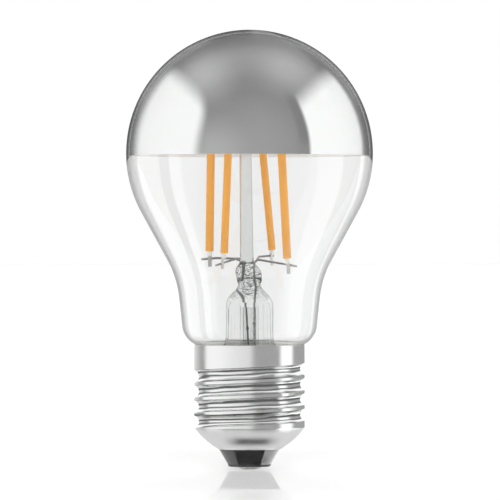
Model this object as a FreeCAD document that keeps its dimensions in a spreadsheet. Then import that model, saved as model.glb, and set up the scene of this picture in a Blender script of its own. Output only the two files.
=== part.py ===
import FreeCAD, Part
import math
import os

import Sketcher
from FreeCAD import Placement, Rotation, Vector

# Led filament bulb with a pear glass, a silvered crown and an E27 screw cap.
# Origin: lowest point of the centre contact, on the bulb's axis, with +Z up to the crown.

doc = FreeCAD.newDocument("led_bulb")
sheet = doc.addObject("Spreadsheet::Sheet", "sizes")

SIZES = [
    ("globe_radius", 29.5, "outer radius of the round crown"),
    ("glass_wall", 0.8, "wall of the blown glass"),
    ("flank_angle", 28.7, "lean of the straight flank, degrees from the axis"),
    ("waist_bend", 25.0, "hollow curve from flank to neck"),
    ("neck_angle", 6.0, "lean of the neck, degrees from the axis"),
    ("neck_step", 2.95, "neck above the lip beyond the cap's own radius"),
    ("neck_length", 6.615, "straight neck, which brings the bulb to 105 in all"),
    ("lip_bend", 5.6, "round lip of the glass above the cap"),
    ("lip_rise", 5.15, "centre of the lip's round above the rim of the cap"),
    ("throat_clearance", 0.3, "glass inside the cap to the back of the thread"),
    ("throat_bend", 1.0, "hollow curve from lip to throat"),
    ("seal_depth", 4.4, "glass inside the cap, from its rim down to the seal"),
    ("mirror_drop", 0.6, "level edge of the silver below the crown's centre"),
    ("mirror_coat", 0.1, "silver coat inside the crown"),
    ("cap_height", 29.6, "contact tip to the rim of the cap"),
    ("cap_radius", 13.2, "thread crest and skirt radius, E27"),
    ("cap_wall", 0.3, "sheet metal of the cap"),
    ("thread_depth", 1.1, "crest to root, E27"),
    ("thread_pitch", 3.629, "seven turns to 25.4, E27"),
    ("thread_round", 1.55, "radius of the rolled groove"),
    ("groove_lead", 0.05, "how far the groove's round starts outside the crest"),
    ("skirt_length", 5.6, "least skirt above the highest full groove"),
    ("thread_start", 11.2, "height of the lowest full groove"),
    ("shoulder_top", 9.9, "where the shoulder meets the thread"),
    ("shoulder_foot", 4.7, "lower edge of the cap's metal"),
    ("shoulder_bend", 18.0, "round of the shoulder"),
    ("collar_radius", 7.4, "outer radius of the metal's lower edge"),
    ("insulator_foot", 0.5, "flat underside of the black glass"),
    ("insulator_radius", 5.2, "radius of the black glass at its foot"),
    ("insulator_round", 0.6, "rounded lower edge of the black glass"),
    ("insulator_top", 7.6, "top of the black glass inside the cap"),
    ("contact_radius", 2.9, "rim of the centre contact"),
    ("contact_flat", 1.2, "flat tip of the centre contact"),
    ("contact_skin", 0.3, "metal below the live wire's end"),
    ("rivet_radius", 1.4, "shank of the centre contact"),
    ("stem_radius", 5.6, "outer radius of the stem tube"),
    ("stem_wall", 0.9, "wall of the stem tube and flare"),
    ("bore_rise", 13.4, "top of the stem's bore above the seal"),
    ("bore_cover", 1.4, "round glass above the bore, below the pinch"),
    ("pinch_rise", 4.4, "narrowest place of the pinch above its start"),
    ("pinch_half", 2.4, "half thickness of the pinch"),
    ("pinch_wide", 5.0, "half width of the pinch"),
    ("bead_rise", 2.3, "centre of the bead above the narrowest place"),
    ("bead_radius", 3.1, "bead, across"),
    ("bead_half", 2.3, "bead, half its height"),
    ("exhaust_radius", 2.05, "outer radius of the exhaust tube"),
    ("exhaust_wall", 0.7, "wall of the exhaust tube"),
    ("tip_clearance", 1.2, "exhaust tube's melted tip above the driver board"),
    ("rod_radius", 1.6, "centre rod at its foot"),
    ("rod_top_radius", 1.35, "centre rod at its head"),
    ("rod_rise", 11.5, "centre of the rod's button above the crown's centre"),
    ("rod_shift", 0.6, "how far the rod's foot stands off the axis"),
    ("rod_lean", 0.7, "lean of the rod, degrees"),
    ("button_radius", 2.0, "glass button that holds the top wires"),
    ("head_drop", 3.0, "upper end of the yellow coat below the button's centre"),
    ("link_spread", 0.9, "link wires to each side of the button's middle"),
    ("wire_radius", 0.25, "lead, branch and link wires"),
    ("knot_radius", 0.42, "weld knot on a lead wire"),
    ("strip_width", 1.0, "filament carrier strip, width"),
    ("strip_thick", 0.5, "filament carrier strip, thickness"),
    ("strip_bare", 1.2, "bare length at each end of the strip"),
    ("phosphor_width", 1.9, "yellow coat, width"),
    ("phosphor_thick", 1.4, "yellow coat, thickness"),
    ("chip_count", 28.0, "light chips on one strip"),
    ("chip_length", 0.6, "light chip, length"),
    ("chip_width", 0.3, "light chip, width"),
    ("chip_thick", 0.15, "light chip, thickness"),
    ("tab_width", 0.9, "metal tab, width"),
    ("tab_thick", 0.25, "metal tab, thickness"),
    ("tab_length", 3.4, "metal tab, length"),
    ("tab_lap", 0.9, "part of the tab that lies on the strip"),
    ("cement_depth", 3.4, "lower end of the cement below the rim of the cap"),
    ("cement_cover", 1.3, "upper end of the cement below the rim of the cap"),
    ("board_rise", 9.8, "underside of the driver board above the black glass"),
    ("board_thick", 1.6, "driver board"),
    ("board_clearance", 0.1, "board edge to the rolled thread's root"),
    ("capacitor_radius", 3.15, "capacitor can"),
    ("capacitor_length", 7.6, "capacitor can"),
    ("capacitor_round", 0.5, "rounded lower edge of the can"),
    ("capacitor_margin", 2.75, "can's right side to the board's edge"),
    ("capacitor_back", 2.2, "can's middle behind the axis"),
    ("resistor_radius", 1.2, "fuse resistor body"),
    ("resistor_length", 5.6, "fuse resistor body"),
    ("resistor_drop", 1.6, "fuse resistor below the board"),
    ("resistor_cap", 1.2, "thicker end of the resistor's body"),
    ("wire_end", 0.6, "lead wires' ends below the board"),
    ("joint_rise", 0.4, "resistor's wire end above the board"),
    ("shell_rise", 1.5, "shell wire's least rise above the board"),
    ("shell_reach", 2.6, "shell wire's upright run to the inside of the cap"),
    ("shell_gap", 0.01, "end of the shell wire to the inside of the cap"),
    ("package_wide", 4.8, "moulded package, along its rows of legs"),
    ("package_deep", 3.9, "moulded package, between its rows of legs"),
    ("package_thick", 1.6, "moulded package"),
    ("package_gap", 0.1, "package below the board"),
    ("package_left", 4.8, "packages' middles to the left of the axis"),
    ("package_apart", 9.0, "between the packages' middles"),
    ("leg_wide", 0.4, "package leg, width"),
    ("leg_long", 0.9, "package leg, length"),
    ("sense_long", 2.0, "sense resistor, length"),
    ("sense_deep", 1.25, "sense resistor, width"),
    ("sense_thick", 0.55, "sense resistor, thickness"),
    ("sense_pitch", 2.6, "from one sense resistor to the next"),
    ("sense_right", 2.2, "first sense resistor's left end"),
    ("sense_front", 5.0, "sense resistors' front edge"),
]

# Middle of the yellow coat's lower end, with its height above the bead, and of its upper end.
FILAMENTS = {
    "filament_1": ((-9.60, 3.5, 5.4), (-9.15, 2.8)),
    "filament_2": ((-6.00, -8.2, 4.9), (-4.75, -7.0)),
    "filament_3": ((5.43, 8.6, 5.7), (2.40, 7.2)),
    "filament_4": ((8.96, -4.9, 3.7), (7.20, -4.2)),
}

for row, (alias, number, meaning) in enumerate(SIZES, start=1):
    sheet.set(f"A{row}", alias)
    sheet.set(f"B{row}", str(number))
    sheet.set(f"C{row}", meaning)
    sheet.setAlias(f"B{row}", alias)
doc.recompute()

nodes = []


def value(text):
    """Number that a sheet formula stands for."""
    result = sheet.evalExpression(text)
    return getattr(result, "Value", result)


def keep(thing, name):
    """Name a finished piece and put it on the list that is written out."""
    thing.Label = name
    nodes.append(thing)
    return thing


def bind(thing, **formulas):
    """Tie an object's sizes to formulas on the sheet."""
    for size_name, formula in formulas.items():
        thing.setExpression(size_name.replace("__", "."), formula)
    return thing


def new_body(name):
    return doc.addObject("PartDesign::Body", name)


def new_sketch(body, name, role, height="0"):
    """Empty sketch on one of its body's own origin planes."""
    sketch = body.newObject("Sketcher::SketchObject", name)
    plane = next(f for f in body.Origin.OriginFeatures if f.Role == role)
    sketch.AttachmentSupport = (plane, [""])
    sketch.MapMode = "FlatFace"
    if height != "0":
        sketch.setExpression("AttachmentOffset.Base.z", height)
    return sketch


def pin_down(sketch, geometry, point, x, y):
    """Place a point of a sketch at formulas for its two coordinates."""
    for kind, formula, axis in (("DistanceX", x, -2), ("DistanceY", y, -1)):
        if formula == "0":
            sketch.addConstraint(Sketcher.Constraint("PointOnObject", geometry, point, axis))
        else:
            number = value(formula)
            added = sketch.addConstraint(
                Sketcher.Constraint(kind, -1, 1, geometry, point, number))
            sketch.setExpression(f"Constraints[{added}]", formula)


def set_radius(sketch, geometry, formula):
    added = sketch.addConstraint(Sketcher.Constraint("Radius", geometry, value(formula)))
    sketch.setExpression(f"Constraints[{added}]", formula)


def arc_through(start, end, radius, turn):
    """Arc between two points, turning left for turn 1 and right for turn -1."""
    half = (end - start) * 0.5
    side = Vector(-half.y, half.x, 0).normalize()
    reach = math.sqrt(max(radius ** 2 - half.Length ** 2, 0))
    centre = start + half + side * reach * turn
    first, last = (start, end) if turn > 0 else (end, start)
    angles = [math.atan2(p.y - centre.y, p.x - centre.x) for p in (first, last)]
    return Part.ArcOfCircle(Part.Circle(centre, Vector(0, 0, 1), radius), *angles)


def draw_loop(sketch, corners):
    """Closed outline; a corner is (x, y) or (x, y, radius, turn) with an arc to the next."""
    places = [Vector(value(c[0]), value(c[1]), 0) for c in corners]
    ends = []
    for index, corner in enumerate(corners):
        start, end = places[index], places[(index + 1) % len(corners)]
        if len(corner) == 4:
            radius, turn = corner[2], corner[3]
            geometry = sketch.addGeometry(arc_through(start, end, value(radius), turn))
            ends.append((geometry, 1, 2) if turn > 0 else (geometry, 2, 1))
        else:
            geometry = sketch.addGeometry(Part.LineSegment(start, end))
            ends.append((geometry, 1, 2))
    for index, (geometry, first, last) in enumerate(ends):
        following, start_point, _ = ends[(index + 1) % len(ends)]
        sketch.addConstraint(
            Sketcher.Constraint("Coincident", geometry, last, following, start_point))
        pin_down(sketch, geometry, first, corners[index][0], corners[index][1])
        if len(corners[index]) == 4:
            set_radius(sketch, geometry, corners[index][2])
    return sketch


def revolve(body, sketch, name):
    turned = body.newObject("PartDesign::Revolution", name)
    turned.Profile = sketch
    turned.ReferenceAxis = (sketch, ["V_Axis"])
    turned.Angle = 360
    return turned


def turned_piece(name, corners):
    """Body made by turning one closed outline about the bulb's axis."""
    body = new_body(name)
    sketch = draw_loop(new_sketch(body, name + "_outline", "XZ_Plane"), corners)
    revolve(body, sketch, name + "_turned")
    return body


def cylinder(name, radius, height, base, x="0", y="0"):
    piece = doc.addObject("Part::Cylinder", name)
    bind(piece, Radius=radius, Height=height, Placement__Base__x=x,
         Placement__Base__y=y, Placement__Base__z=base)
    return piece


def cut(name, base, tool):
    piece = doc.addObject("Part::Cut", name)
    piece.Base = base
    piece.Tool = tool
    return piece


def fuse(name, pieces):
    piece = doc.addObject("Part::MultiFuse", name)
    piece.Shapes = pieces
    return piece


# Blown glass: round crown, straight flank, hollow waist, neck and lip, then the throat
# that stands inside the cap. It is set out from the lip upwards: the neck and the flank lead
# to the crown, which is centred on the axis. Both outlines are solved by their tangents, and
# the cavity is open at the seal.

NECK = "(sizes.cap_radius + sizes.neck_step)"
THREAD_BACK = "(sizes.cap_radius - sizes.thread_depth - sizes.cap_wall)"
THROAT = f"({THREAD_BACK} - sizes.throat_clearance)"
LIP_HEIGHT = "(sizes.cap_height + sizes.lip_rise)"
SEAL = "(sizes.cap_height - sizes.seal_depth)"
LIP_TO_WAIST = "(sizes.lip_bend + sizes.waist_bend)"
FLANK_FOOT_OUT = (f"({NECK} - sizes.lip_bend + {LIP_TO_WAIST} * cos(sizes.neck_angle)"
                  " + sizes.neck_length * sin(sizes.neck_angle)"
                  " - sizes.waist_bend * cos(sizes.flank_angle))")
FLANK_FOOT_UP = (f"({LIP_HEIGHT} - {LIP_TO_WAIST} * sin(sizes.neck_angle)"
                 " + sizes.neck_length * cos(sizes.neck_angle)"
                 " + sizes.waist_bend * sin(sizes.flank_angle))")
GLOBE_CENTRE = (f"({FLANK_FOOT_UP} + (sizes.globe_radius"
                f" - {FLANK_FOOT_OUT} * cos(sizes.flank_angle)) / sin(sizes.flank_angle))")


def glass_outline(sketch, inset):
    """Half section of the glass, or of its cavity when inset by the wall."""
    crown_radius = f"(sizes.globe_radius - {inset})"
    waist_radius = f"(sizes.waist_bend + {inset})"
    lip_radius = f"(sizes.lip_bend - {inset})"
    hollow_radius = f"(sizes.throat_bend + {inset})"
    throat_side = f"({THROAT} - {inset})"
    lip_side = f"{NECK} - sizes.lip_bend"
    flank = math.radians(value("sizes.flank_angle"))
    neck = math.radians(value("sizes.neck_angle"))
    seal = value(SEAL)

    globe = Vector(0, value(GLOBE_CENTRE), 0)
    lip = Vector(value(lip_side), value(LIP_HEIGHT), 0)
    flank_out = Vector(math.cos(flank), -math.sin(flank), 0)
    neck_out = Vector(math.cos(neck), -math.sin(neck), 0)
    flank_down = Vector(-math.sin(flank), -math.cos(flank), 0)

    crown_top = globe + Vector(0, value(crown_radius), 0)
    flank_top = globe + flank_out * value(crown_radius)
    neck_foot = lip + neck_out * value(lip_radius)
    turn = (flank_out - neck_out) * value(waist_radius)
    drop = (neck_foot - flank_top - turn).dot(neck_out) / flank_down.dot(neck_out)
    flank_foot = flank_top + flank_down * drop
    waist = flank_foot + flank_out * value(waist_radius)
    neck_top = waist - neck_out * value(waist_radius)
    hollow = Vector(value(throat_side) + value(hollow_radius), lip.y, 0)
    hollow.y -= math.sqrt((value(lip_radius) + value(hollow_radius)) ** 2
                          - (hollow.x - lip.x) ** 2)
    lip_foot = lip + (hollow - lip).normalize() * value(lip_radius)
    throat_top = Vector(value(throat_side), hollow.y, 0)
    throat_foot = Vector(value(throat_side), seal, 0)
    axis_foot = Vector(0, seal, 0)

    def arc(centre, first, last):
        angles = [math.atan2(p.y - centre.y, p.x - centre.x) for p in (first, last)]
        if angles[0] > angles[1] + math.pi:
            angles[1] += 2 * math.pi
        circle = Part.Circle(centre, Vector(0, 0, 1), centre.distanceToPoint(first))
        return sketch.addGeometry(Part.ArcOfCircle(circle, *angles))

    def line(first, last):
        return sketch.addGeometry(Part.LineSegment(first, last))

    crown = arc(globe, flank_top, crown_top)
    flank_line = line(flank_foot, flank_top)
    waist_arc = arc(waist, flank_foot, neck_top)
    neck_line = line(neck_foot, neck_top)
    lip_arc = arc(lip, lip_foot, neck_foot)
    hollow_arc = arc(hollow, lip_foot, throat_top)
    throat_line = line(throat_foot, throat_top)
    seal_line = line(axis_foot, throat_foot)
    axis_line = line(crown_top, axis_foot)

    for kind, *places in (
            ("Tangent", crown, 1, flank_line, 2), ("Tangent", flank_line, 1, waist_arc, 1),
            ("Tangent", waist_arc, 2, neck_line, 2), ("Tangent", neck_line, 1, lip_arc, 2),
            ("Tangent", lip_arc, 1, hollow_arc, 1), ("Tangent", hollow_arc, 2, throat_line, 2),
            ("Coincident", throat_line, 1, seal_line, 2),
            ("Coincident", seal_line, 1, axis_line, 2), ("Coincident", axis_line, 1, crown, 2),
            ("PointOnObject", crown, 2, -2), ("PointOnObject", seal_line, 1, -2),
            ("Horizontal", seal_line)):
        sketch.addConstraint(Sketcher.Constraint(kind, *places))
    pin_down(sketch, crown, 3, "0", GLOBE_CENTRE)
    pin_down(sketch, lip_arc, 3, lip_side, LIP_HEIGHT)
    pin_down(sketch, throat_line, 1, throat_side, SEAL)
    for geometry, formula in ((crown, crown_radius), (waist_arc, waist_radius),
                              (lip_arc, lip_radius), (hollow_arc, hollow_radius)):
        set_radius(sketch, geometry, formula)
    for geometry, lean in ((flank_line, "sizes.flank_angle"), (neck_line, "sizes.neck_angle")):
        added = sketch.addConstraint(
            Sketcher.Constraint("Angle", geometry, math.radians(90 - value(lean))))
        sketch.setExpression(f"Constraints[{added}]", f"(90 - {lean}) * 1 deg")
    return sketch


glass = new_body("glass_bulb")
revolve(glass, glass_outline(new_sketch(glass, "glass_outline", "XZ_Plane"), "0"), "glass_blown")
doc.recompute()
cavity_sketch = glass_outline(new_sketch(glass, "cavity_outline", "XZ_Plane"),
                              "sizes.glass_wall")
glass_cavity = glass.newObject("PartDesign::Groove", "glass_cavity")
glass_cavity.Profile = cavity_sketch
glass_cavity.ReferenceAxis = (cavity_sketch, ["V_Axis"])
glass_cavity.Angle = 360
keep(glass, "glass_bulb")

# Silver coat on the inside of the crown, with a level lower edge.

COAT_OUT = "(sizes.globe_radius - sizes.glass_wall)"
COAT_IN = "(sizes.globe_radius - sizes.glass_wall - sizes.mirror_coat)"
MIRROR_EDGE = f"({GLOBE_CENTRE} - sizes.mirror_drop)"
keep(turned_piece("mirror_coating", [
    (f"sqrt({COAT_OUT} ^ 2 - sizes.mirror_drop ^ 2)", MIRROR_EDGE, COAT_OUT, 1),
    ("0", f"{GLOBE_CENTRE} + {COAT_OUT}"),
    ("0", f"{GLOBE_CENTRE} + {COAT_IN}", COAT_IN, -1),
    (f"sqrt({COAT_IN} ^ 2 - sizes.mirror_drop ^ 2)", MIRROR_EDGE),
]), "mirror_coating")

# Screw cap: one sheet of metal with a rolled thread. Its outside and its cavity are both
# turned and grooved along the same helix, so the wall follows the thread. The groove has as
# many half turns of full depth as the plain skirt leaves room for, and fades out at each end.

HALF_TURNS = int(value("(sizes.cap_height - sizes.skirt_length - sizes.thread_start)"
                       " / (sizes.thread_pitch / 2)"))
THREAD_TURNS = f"{HALF_TURNS / 2}"
THREAD_TOP = f"(sizes.thread_start + {THREAD_TURNS} * sizes.thread_pitch)"
TOP_SIDE = 1 if HALF_TURNS % 2 else -1
GROOVE_CENTRE = "(sizes.cap_radius - sizes.thread_depth + sizes.thread_round)"
GROOVE_OUT = f"({GROOVE_CENTRE} + sizes.thread_round)"


def groove(body, name, side, height, wall_side, radius, turns, fade=False, downwards=False):
    """Rolled groove that follows the right-hand helix, started at one side of the axis."""
    sketch = new_sketch(body, name + "_outline", "XZ_Plane")
    sign = "" if side > 0 else "-"
    mouth = f"({wall_side} + sizes.groove_lead)"
    centre = Vector(side * value(GROOVE_CENTRE), value(height), 0)
    size = value(radius)
    spread = math.acos((value(GROOVE_CENTRE) - value(mouth)) / size)
    facing = math.pi if side > 0 else 0
    out = side * value(GROOVE_OUT)
    arc = sketch.addGeometry(Part.ArcOfCircle(
        Part.Circle(centre, Vector(0, 0, 1), size), facing - spread, facing + spread))
    start, end = sketch.Geometry[arc].StartPoint, sketch.Geometry[arc].EndPoint
    first = sketch.addGeometry(Part.LineSegment(end, Vector(out, end.y, 0)))
    back = sketch.addGeometry(Part.LineSegment(Vector(out, end.y, 0), Vector(out, start.y, 0)))
    last = sketch.addGeometry(Part.LineSegment(Vector(out, start.y, 0), start))
    for one, other in (((arc, 2), (first, 1)), ((first, 2), (back, 1)),
                       ((back, 2), (last, 1)), ((last, 2), (arc, 1))):
        sketch.addConstraint(Sketcher.Constraint("Coincident", *one, *other))
    sketch.addConstraint(Sketcher.Constraint("Horizontal", first))
    sketch.addConstraint(Sketcher.Constraint("Horizontal", last))
    sketch.addConstraint(Sketcher.Constraint("Vertical", back))
    sketch.addConstraint(Sketcher.Constraint("Vertical", arc, 1, arc, 2))
    pin_down(sketch, arc, 3, sign + GROOVE_CENTRE, height)
    set_radius(sketch, arc, radius)
    for geometry, number, formula in ((arc, start.x, mouth), (back, out, GROOVE_OUT)):
        added = sketch.addConstraint(
            Sketcher.Constraint("DistanceX", -1, 1, geometry, 1, number))
        sketch.setExpression(f"Constraints[{added}]", sign + formula)
    doc.recompute()
    cutter = body.newObject("PartDesign::SubtractiveHelix", name)
    cutter.Profile = sketch
    cutter.ReferenceAxis = (sketch, ["V_Axis"])
    cutter.Mode = "pitch-turns-angle"
    cutter.LeftHanded = False
    cutter.Reversed = downwards
    bind(cutter, Pitch="sizes.thread_pitch", Turns=turns)
    if fade:
        bind(cutter, Angle="atan(2.6 * sizes.thread_depth / sizes.thread_pitch)")
    doc.recompute()


def cap_form(name, inset):
    """Cap as a solid, inset by a share of the metal's wall."""
    body = new_body(name)
    side = f"(sizes.cap_radius - {inset})"
    foot = f"(sizes.collar_radius - {inset})"
    corners = [
        ("0", "sizes.shoulder_foot"),
        (foot, "sizes.shoulder_foot"),
        (foot, f"sizes.shoulder_foot + 0.8 * {inset}", "sizes.shoulder_bend", 1),
        (side, f"sizes.shoulder_top + 0.4 * {inset}"),
        (side, "sizes.cap_height"),
        ("0", "sizes.cap_height"),
    ]
    if inset == "0":
        corners.pop(1)
    sketch = draw_loop(new_sketch(body, name + "_outline", "XZ_Plane"), corners)
    revolve(body, sketch, name + "_turned")
    radius = f"(sizes.thread_round + {inset})"
    groove(body, name + "_thread", -1, "sizes.thread_start", side, radius,
           THREAD_TURNS)
    groove(body, name + "_fade", TOP_SIDE, THREAD_TOP, side, radius, "0.5", fade=True)
    groove(body, name + "_runout", -1, "sizes.thread_start", side, radius, "0.5",
           fade=True, downwards=True)
    return body


cap_outside = cap_form("cap_outside", "0")
cap_cavity = cap_form("cap_cavity", "sizes.cap_wall")
keep(cut("cap_shell", cap_outside, cap_cavity), "cap_shell")

# Black glass insulator: a tapered foot below the metal and a body that fills the inside of
# the shoulder, with a hole for the contact's rivet.

CAVITY_FOOT = "(sizes.collar_radius - sizes.cap_wall)"
CAVITY_SIDE = "(sizes.cap_radius - sizes.cap_wall)"
keep(turned_piece("insulator", [
    ("sizes.rivet_radius", "sizes.insulator_foot"),
    ("sizes.insulator_radius - sizes.insulator_round", "sizes.insulator_foot",
     "sizes.insulator_round", 1),
    ("sizes.insulator_radius", "sizes.insulator_foot + sizes.insulator_round"),
    ("sizes.collar_radius - 0.1", "sizes.shoulder_foot"),
    (CAVITY_FOOT, "sizes.shoulder_foot"),
    (CAVITY_FOOT, "sizes.shoulder_foot + 0.8 * sizes.cap_wall"),
    ("0.8 * sizes.cap_radius", "sizes.insulator_top"),
    ("sizes.rivet_radius", "sizes.insulator_top"),
]), "insulator")

# Centre contact: a shallow lens with a small flat tip, riveted up through the black glass
# and hollow for the live wire down to a thin skin.

LENS_ROUND = "(1.4 * sizes.contact_radius)"
keep(turned_piece("centre_contact", [
    ("0", "0"),
    ("sizes.contact_flat", "0", LENS_ROUND, 1),
    ("sizes.contact_radius", "sizes.insulator_foot"),
    ("sizes.rivet_radius", "sizes.insulator_foot"),
    ("sizes.rivet_radius", "0.6 * sizes.insulator_top"),
    ("sizes.wire_radius", "0.6 * sizes.insulator_top"),
    ("sizes.wire_radius", "sizes.contact_skin"),
    ("0", "sizes.contact_skin"),
]), "centre_contact")

# Cement that holds the glass in the cap, between the throat and the plain skirt.

CEMENT_FOOT = "(sizes.cap_height - sizes.cement_depth)"
CEMENT_TOP = "(sizes.cap_height - sizes.cement_cover)"
keep(turned_piece("cement_ring", [
    (THROAT, CEMENT_FOOT),
    (CAVITY_SIDE, CEMENT_FOOT),
    (CAVITY_SIDE, CEMENT_TOP),
    (THROAT, CEMENT_TOP),
]), "cement_ring")

# Stem: flare and tube are turned, the pinch is lofted flat from the tube, and the bead on
# top carries the rod. The flare's hollow curve ends at the inner edge of the throat, and the
# flat of the pinch lies along the depth of the bulb.

BORE = "(sizes.stem_radius - sizes.stem_wall)"
FLARE_SIDE = f"({THROAT} - sizes.glass_wall)"
FLARE_BEND = f"({FLARE_SIDE} - sizes.stem_radius)"
FLARE_TOP = f"({SEAL} + {FLARE_BEND})"
FLARE_FOOT = f"({SEAL} - sizes.stem_wall)"
BORE_TOP = f"({SEAL} + sizes.bore_rise)"
STEM_SHOULDER = f"({BORE_TOP} + sizes.bore_cover)"
stem = new_body("stem_form")
stem_sketch = draw_loop(new_sketch(stem, "stem_outline", "XZ_Plane"), [
    ("0", BORE_TOP),
    (BORE, BORE_TOP),
    (BORE, FLARE_TOP, f"({FLARE_BEND} + sizes.stem_wall)", 1),
    (FLARE_SIDE, FLARE_FOOT),
    (THROAT, FLARE_FOOT),
    (THROAT, SEAL),
    (FLARE_SIDE, SEAL, FLARE_BEND, -1),
    ("sizes.stem_radius", FLARE_TOP),
    ("sizes.stem_radius", STEM_SHOULDER),
    ("0", STEM_SHOULDER),
])
revolve(stem, stem_sketch, "stem_turned")


def oval_section(body, name, height, half_thick, half_wide):
    """Oval across the bulb's axis, with its long side along the depth."""
    sketch = new_sketch(body, name, "XY_Plane", height)
    thick, wide = value(half_thick), value(half_wide)
    if wide - thick < 1e-6:
        circle = Part.Circle(Vector(0, 0, 0), Vector(0, 0, 1), wide)
        circle.AngleXU = math.pi / 2
        sketch.addGeometry(circle)
        set_radius(sketch, 0, half_wide)
    else:
        sketch.addGeometry(Part.Ellipse(Vector(0, wide, 0), Vector(-thick, 0, 0),
                                        Vector(0, 0, 0)))
        sketch.exposeInternalGeometry(0)
        for axis, half in ((1, half_wide), (2, half_thick)):
            added = sketch.addConstraint(Sketcher.Constraint("Distance", axis, 2 * value(half)))
            sketch.setExpression(f"Constraints[{added}]", f"2 * ({half})")
        sketch.addConstraint(Sketcher.Constraint("Vertical", 1))
    sketch.addConstraint(Sketcher.Constraint("Coincident", 0, 3, -1, 1))
    return sketch


PINCH_SECTIONS = [
    ("0", "sizes.stem_radius", "sizes.stem_radius"),
    ("0.4", "0.6 * sizes.stem_radius + 0.4 * sizes.pinch_half", "0.99 * sizes.stem_radius"),
    ("1", "sizes.pinch_half", "sizes.pinch_wide"),
    ("1.35", "sizes.pinch_half", "0.75 * sizes.pinch_wide"),
]
pinch_sketches = [
    oval_section(stem, f"pinch_section_{index}", f"{STEM_SHOULDER} + {share} * sizes.pinch_rise",
                 half_thick, half_wide)
    for index, (share, half_thick, half_wide) in enumerate(PINCH_SECTIONS, start=1)]
pinch = stem.newObject("PartDesign::AdditiveLoft", "pinch")
pinch.Profile = pinch_sketches[0]
pinch.Sections = pinch_sketches[1:]
doc.recompute()
BEAD_CORE = "(sizes.bead_radius - sizes.bead_half)"
BEAD = f"({STEM_SHOULDER} + sizes.pinch_rise + sizes.bead_rise)"
BEAD_FOOT = f"({BEAD} - sizes.bead_half)"
BEAD_TOP = f"({BEAD} + sizes.bead_half)"
bead_sketch = draw_loop(new_sketch(stem, "bead_outline", "XZ_Plane"), [
    ("0", BEAD_FOOT),
    (BEAD_CORE, BEAD_FOOT, "sizes.bead_half", 1),
    ("sizes.bead_radius", BEAD, "sizes.bead_half", 1),
    (BEAD_CORE, BEAD_TOP),
    ("0", BEAD_TOP),
])
revolve(stem, bead_sketch, "bead")
doc.recompute()

BOARD = "(sizes.insulator_top + sizes.board_rise)"
BOARD_TOP = f"({BOARD} + sizes.board_thick)"

# Wires are bent from straight runs joined by arcs.


def bent_path(places, bend):
    """Straight runs through the places, with a tangent arc at each inner one."""
    edges = []
    start = places[0]
    for before, corner, after in zip(places, places[1:], places[2:]):
        into = (corner - before).normalize()
        out = (after - corner).normalize()
        turn = into.getAngle(out)
        room = 0.45 * min((corner - before).Length, (after - corner).Length)
        back = min(bend * math.tan(turn / 2), room)
        radius = back / math.tan(turn / 2)
        arc_start = corner - into * back
        arc_end = corner + out * back
        inward = (out - into).normalize()
        centre = corner + inward * (radius / math.cos(turn / 2))
        middle = centre - inward * radius
        edges.append(Part.LineSegment(start, arc_start).toShape())
        edges.append(Part.Arc(arc_start, middle, arc_end).toShape())
        start = arc_end
    edges.append(Part.LineSegment(start, places[-1]).toShape())
    return Part.Wire(edges)


def wire_solid(places, bend=1.2):
    path = bent_path(places, bend)
    ring = Part.makeCircle(value("sizes.wire_radius"), places[0], places[1] - places[0])
    return path.makePipeShell([Part.Wire(ring)], True, True)


def shape_piece(name, shape):
    piece = doc.addObject("Part::Feature", name)
    piece.Shape = shape
    return piece


# Filaments: each has its own frame, with Z along the strip from foot to head, X across the
# strip's flat side and Y towards the back, where the tabs and the wires lie.

STRIP_BACK = "(sizes.strip_thick / 2)"
WIRE_BACK = "(sizes.strip_thick / 2 + sizes.tab_thick + sizes.wire_radius)"
ROD_TOP = f"({GLOBE_CENTRE} + sizes.rod_rise)"


def at_bead(x, y, rise):
    """Place at a height above the middle of the bead."""
    return Vector(x, y, value(BEAD) + rise)


ENDS = {name: (at_bead(*foot), Vector(*head, value(ROD_TOP) - value("sizes.head_drop")))
        for name, (foot, head) in FILAMENTS.items()}


def filament_frame(foot, head):
    along = (head - foot).normalize()
    outward = Vector(foot.x, foot.y, 0).normalize()
    back = along.cross(outward).normalize()
    if back.y < 0:
        back = back * -1
    outward = back.cross(along)
    return Placement(foot, Rotation(outward, back, along, "ZXY"))


def block(name, frame, width, thick, length, x, y, z):
    """Box with its middle at x, its near face at y and its foot at z of a filament's frame."""
    box = doc.addObject("Part::Box", name)
    bind(box, Length=width, Width=thick, Height=length)
    corner = Vector(value(f"{x} - {width} / 2"), value(y), value(z))
    box.Placement = frame * Placement(corner, Rotation())
    return box


def long_edges(shape, along):
    """Numbers of the edges that run along one direction."""
    return [number for number, edge in enumerate(shape.Edges, start=1)
            if abs(abs(edge.tangentAt(edge.FirstParameter).dot(along)) - 1) < 1e-6]


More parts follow.
